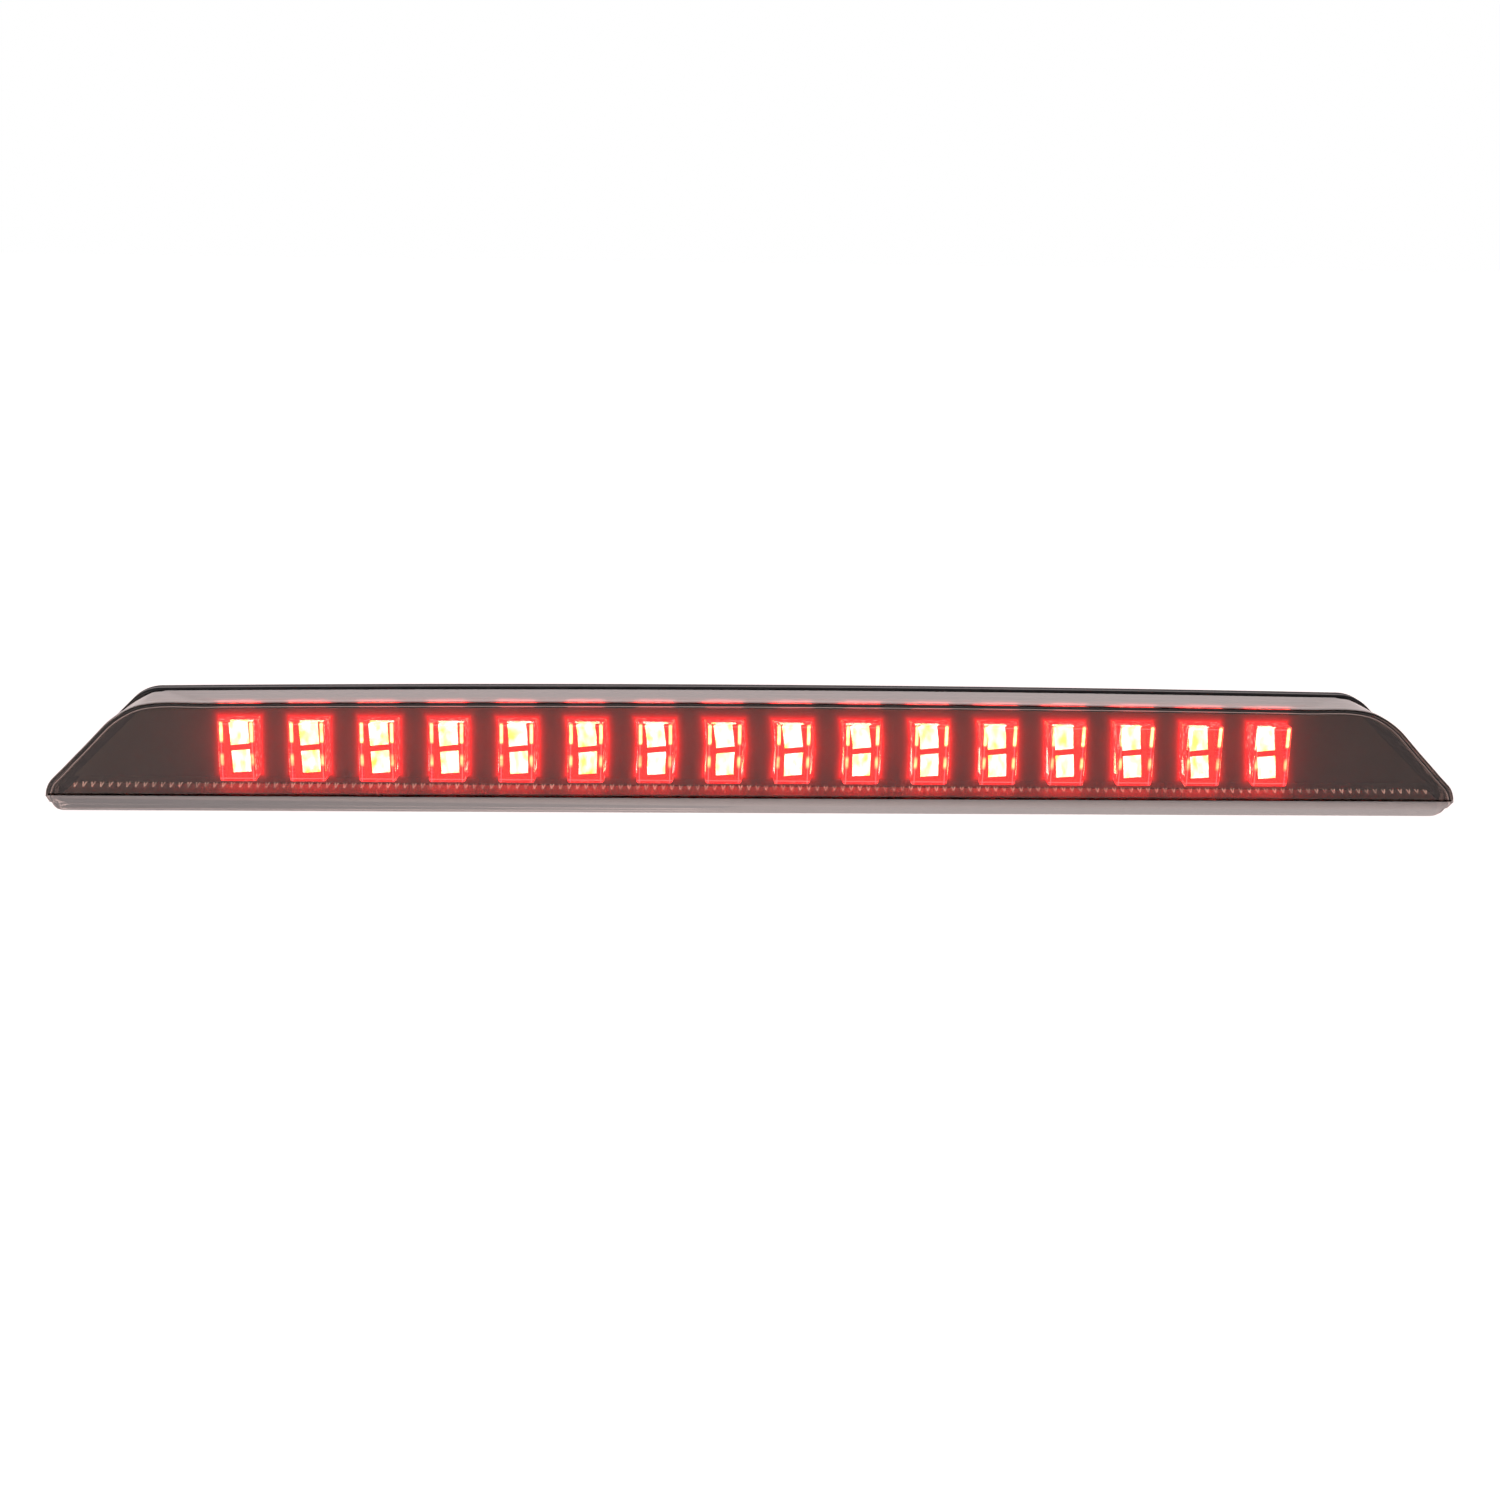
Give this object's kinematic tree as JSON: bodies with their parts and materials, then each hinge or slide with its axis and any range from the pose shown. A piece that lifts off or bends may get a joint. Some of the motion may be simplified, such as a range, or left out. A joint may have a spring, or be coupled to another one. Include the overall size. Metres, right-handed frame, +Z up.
{
  "type": "third brake light",
  "caption": "High-mount brake light with a smoked wedge-ended lens over a row of red optic blocks and LEDs, on a black tray with foam gasket, rear studs and a two-way inlet.",
  "frame": {"origin": "midway between the two mounting studs, on the rear face of the gasket", "axes": "+X along the lamp, -Y out of the lit face, +Y into the car body along the studs, +Z up"},
  "size_m": [0.41, 0.048, 0.0373],
  "materials": {
    "smoked_lens": "polished, smoked and see-through",
    "hot_melt_bead": "dull",
    "black_tray": "fine moulded grain",
    "gasket_foam": "closed-cell foam, dull",
    "dark_bezel": "satin",
    "prism_plastic": "moulded teeth, satin",
    "red_optic": "clear red, lit from behind",
    "led_package": "lit",
    "white_reflector": "smooth white",
    "board_green": "solder mask with copper tracks",
    "chip_black": "moulded epoxy",
    "capacitor_ceramic": "fired ceramic",
    "socket_plastic": "satin moulded",
    "tinned_terminal": "tin plated",
    "zinc_steel": "bright zinc plate",
    "vent_plastic": "satin"
  },
  "bodies": {
    "root": {"outer_lens": "smoked_lens", "lens_seal": "hot_melt_bead", "housing": "black_tray", "mounting_gasket": "gasket_foam", "inner_bezel": "dark_bezel", "prism_strip": "prism_plastic", "reflector_plate": "white_reflector", "circuit_board": "board_green", "board_resistors": "chip_black", "driver_chip": "chip_black", "input_diode": "chip_black", "smoothing_capacitor": "capacitor_ceramic", "connector_socket": "socket_plastic", "terminal_pins": "tinned_terminal", "socket_seal": "gasket_foam", "mounting_stud_left": "zinc_steel", "mounting_stud_right": "zinc_steel", "vent_plug": "vent_plastic", "board_screws": "zinc_steel", "bezel_screws": "zinc_steel", "optic_block_01": "red_optic", "optic_block_02": "red_optic", "optic_block_03": "red_optic", "optic_block_04": "red_optic", "optic_block_05": "red_optic", "optic_block_06": "red_optic", "optic_block_07": "red_optic", "optic_block_08": "red_optic", "optic_block_09": "red_optic", "optic_block_10": "red_optic", "optic_block_11": "red_optic", "optic_block_12": "red_optic", "optic_block_13": "red_optic", "optic_block_14": "red_optic", "optic_block_15": "red_optic", "optic_block_16": "red_optic", "led_pair_01": "led_package", "led_pair_02": "led_package", "led_pair_03": "led_package", "led_pair_04": "led_package", "led_pair_05": "led_package", "led_pair_06": "led_package", "led_pair_07": "led_package", "led_pair_08": "led_package", "led_pair_09": "led_package", "led_pair_10": "led_package", "led_pair_11": "led_package", "led_pair_12": "led_package", "led_pair_13": "led_package", "led_pair_14": "led_package", "led_pair_15": "led_package", "led_pair_16": "led_package"}
  },
  "joints": []
}
